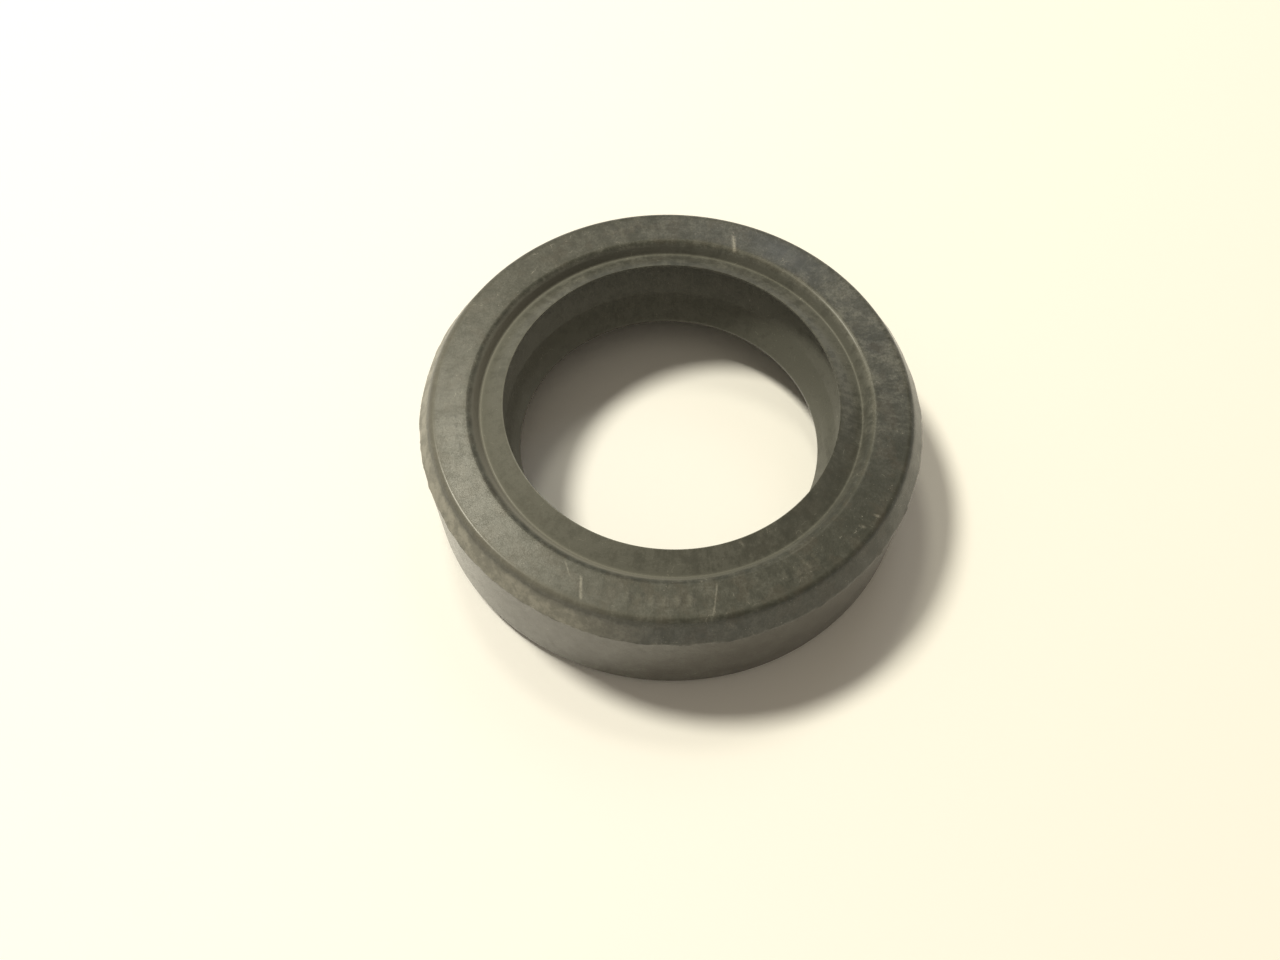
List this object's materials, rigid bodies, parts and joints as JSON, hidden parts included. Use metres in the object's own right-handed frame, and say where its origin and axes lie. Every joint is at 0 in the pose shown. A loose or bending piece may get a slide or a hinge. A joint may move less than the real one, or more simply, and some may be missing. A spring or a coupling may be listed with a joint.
{
  "type": "rotary shaft seal",
  "caption": "Rubber-covered rotary shaft seal: a ring with a spring-loaded main lip, a dust lip and a stiffening steel case, pressed into a housing round a turning shaft.",
  "frame": {"origin": "centre of the back (oil side) face, on the shaft's axis", "axes": "+Z along the shaft's axis, from the back (oil side) face to the front (air side) face"},
  "size_m": [0.0302, 0.0302, 0.008],
  "materials": {
    "rubber": "dull moulded nitrile rubber, dusty and lightly scratched",
    "case_steel": "dark phosphate coating with a film of bonding agent",
    "spring_steel": "drawn spring wire, lightly oiled"
  },
  "bodies": {
    "root": {"rubber_body": "rubber", "steel_case": "case_steel", "garter_spring": "spring_steel"}
  },
  "joints": []
}
